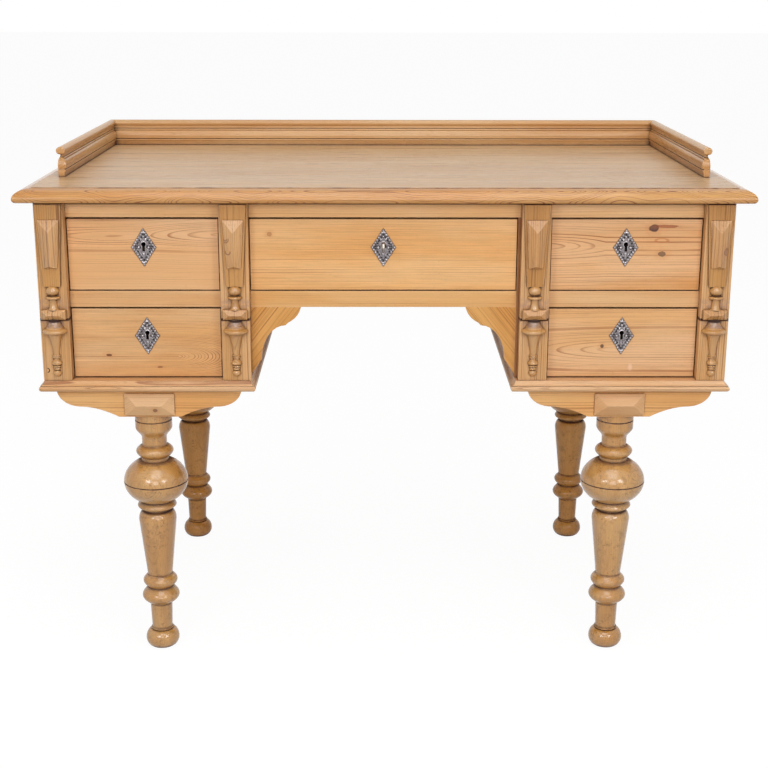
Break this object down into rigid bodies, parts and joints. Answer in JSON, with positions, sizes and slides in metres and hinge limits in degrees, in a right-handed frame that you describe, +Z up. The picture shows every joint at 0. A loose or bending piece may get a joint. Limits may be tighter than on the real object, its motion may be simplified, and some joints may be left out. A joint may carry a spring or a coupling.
{
  "type": "writing table",
  "caption": "Pedestal writing table in pine with a low gallery, sliding drawers with locks, split-turned pilasters and turned ball legs.",
  "frame": {"origin": "on the floor, under the middle of the table top", "axes": "+X to the sitter's right along the table's width, +Y to the back, +Z up"},
  "size_m": [1.14, 0.624, 0.836],
  "materials": {
    "pine": "waxed",
    "top_pine": "waxed, a little worn",
    "facet_pine": "waxed",
    "turned_pine": "waxed",
    "raw_pine": "unfinished",
    "pewter": "cast, worn",
    "lock_brass": "dull",
    "iron": "dark, worn"
  },
  "bodies": {
    "carcass": {"top_board": "top_pine", "gallery_back": "pine", "gallery_left": "pine", "gallery_right": "pine", "side_panel_left": "pine", "side_panel_right": "pine", "partition_left": "pine", "partition_right": "pine", "back_panels": "raw_pine", "top_rail_front": "pine", "top_rail_back": "raw_pine", "mid_rail_left": "pine", "mid_rail_right": "pine", "centre_rails": "pine", "drawer_runners": "raw_pine", "drawer_guides": "raw_pine", "base_board_left": "pine", "base_board_right": "pine", "bearer_front_left": "pine", "bearer_front_right": "pine", "bearer_back_left": "pine", "bearer_back_right": "pine", "bearer_blocks": "facet_pine", "leg_front_left": "turned_pine", "leg_front_right": "turned_pine", "leg_back_left": "turned_pine", "leg_back_right": "turned_pine", "post_outer_left": "pine", "post_inner_left": "pine", "post_inner_right": "pine", "post_outer_right": "pine", "pilaster_plaques": "pine", "pilaster_diamonds": "facet_pine", "pilaster_knops": "turned_pine", "pilaster_caps": "facet_pine", "pilaster_drops": "turned_pine", "spandrel_left": "pine", "spandrel_right": "pine"},
    "upper_left_drawer": {"upper_left_front": "pine", "upper_left_box": "raw_pine", "upper_left_escutcheon": "pewter", "upper_left_lock": "lock_brass"},
    "upper_right_drawer": {"upper_right_front": "pine", "upper_right_box": "raw_pine", "upper_right_escutcheon": "pewter", "upper_right_lock": "lock_brass"},
    "lower_left_drawer": {"lower_left_front": "pine", "lower_left_box": "raw_pine", "lower_left_escutcheon": "pewter", "lower_left_lock": "lock_brass"},
    "lower_right_drawer": {"lower_right_front": "pine", "lower_right_box": "raw_pine", "lower_right_escutcheon": "pewter", "lower_right_lock": "lock_brass"},
    "centre_drawer": {"centre_front": "pine", "centre_box": "raw_pine", "centre_escutcheon": "pewter", "centre_lock": "lock_brass"},
    "lock_bolt": {"centre_lock_bolt": "iron"},
    "key": {"centre_key": "iron"}
  },
  "joints": [
    {"name": "upper_left_slide", "type": "slide", "parent": "carcass", "child": "upper_left_drawer", "axis": [0, -1, 0], "range_m": [0, 0.4]},
    {"name": "upper_right_slide", "type": "slide", "parent": "carcass", "child": "upper_right_drawer", "axis": [0, -1, 0], "range_m": [0, 0.4]},
    {"name": "lower_left_slide", "type": "slide", "parent": "carcass", "child": "lower_left_drawer", "axis": [0, -1, 0], "range_m": [0, 0.4]},
    {"name": "lower_right_slide", "type": "slide", "parent": "carcass", "child": "lower_right_drawer", "axis": [0, -1, 0], "range_m": [0, 0.4]},
    {"name": "centre_slide", "type": "slide", "parent": "carcass", "child": "centre_drawer", "axis": [0, -1, 0], "range_m": [0, 0.4]},
    {"name": "key_turn", "type": "hinge", "parent": "centre_drawer", "child": "key", "pos_m": [-0.0025, -0.27, 0.6965], "axis": [0, 1, 0], "range_deg": [0, 180]},
    {"name": "lock_bolt_slide", "type": "slide", "parent": "centre_drawer", "child": "lock_bolt", "axis": [0, 0, 1], "range_m": [0, 0.008]}
  ],
  "couplings": [
    {"joint": "key_turn", "follows": "lock_bolt_slide", "rad_per_m": 392.69}
  ]
}
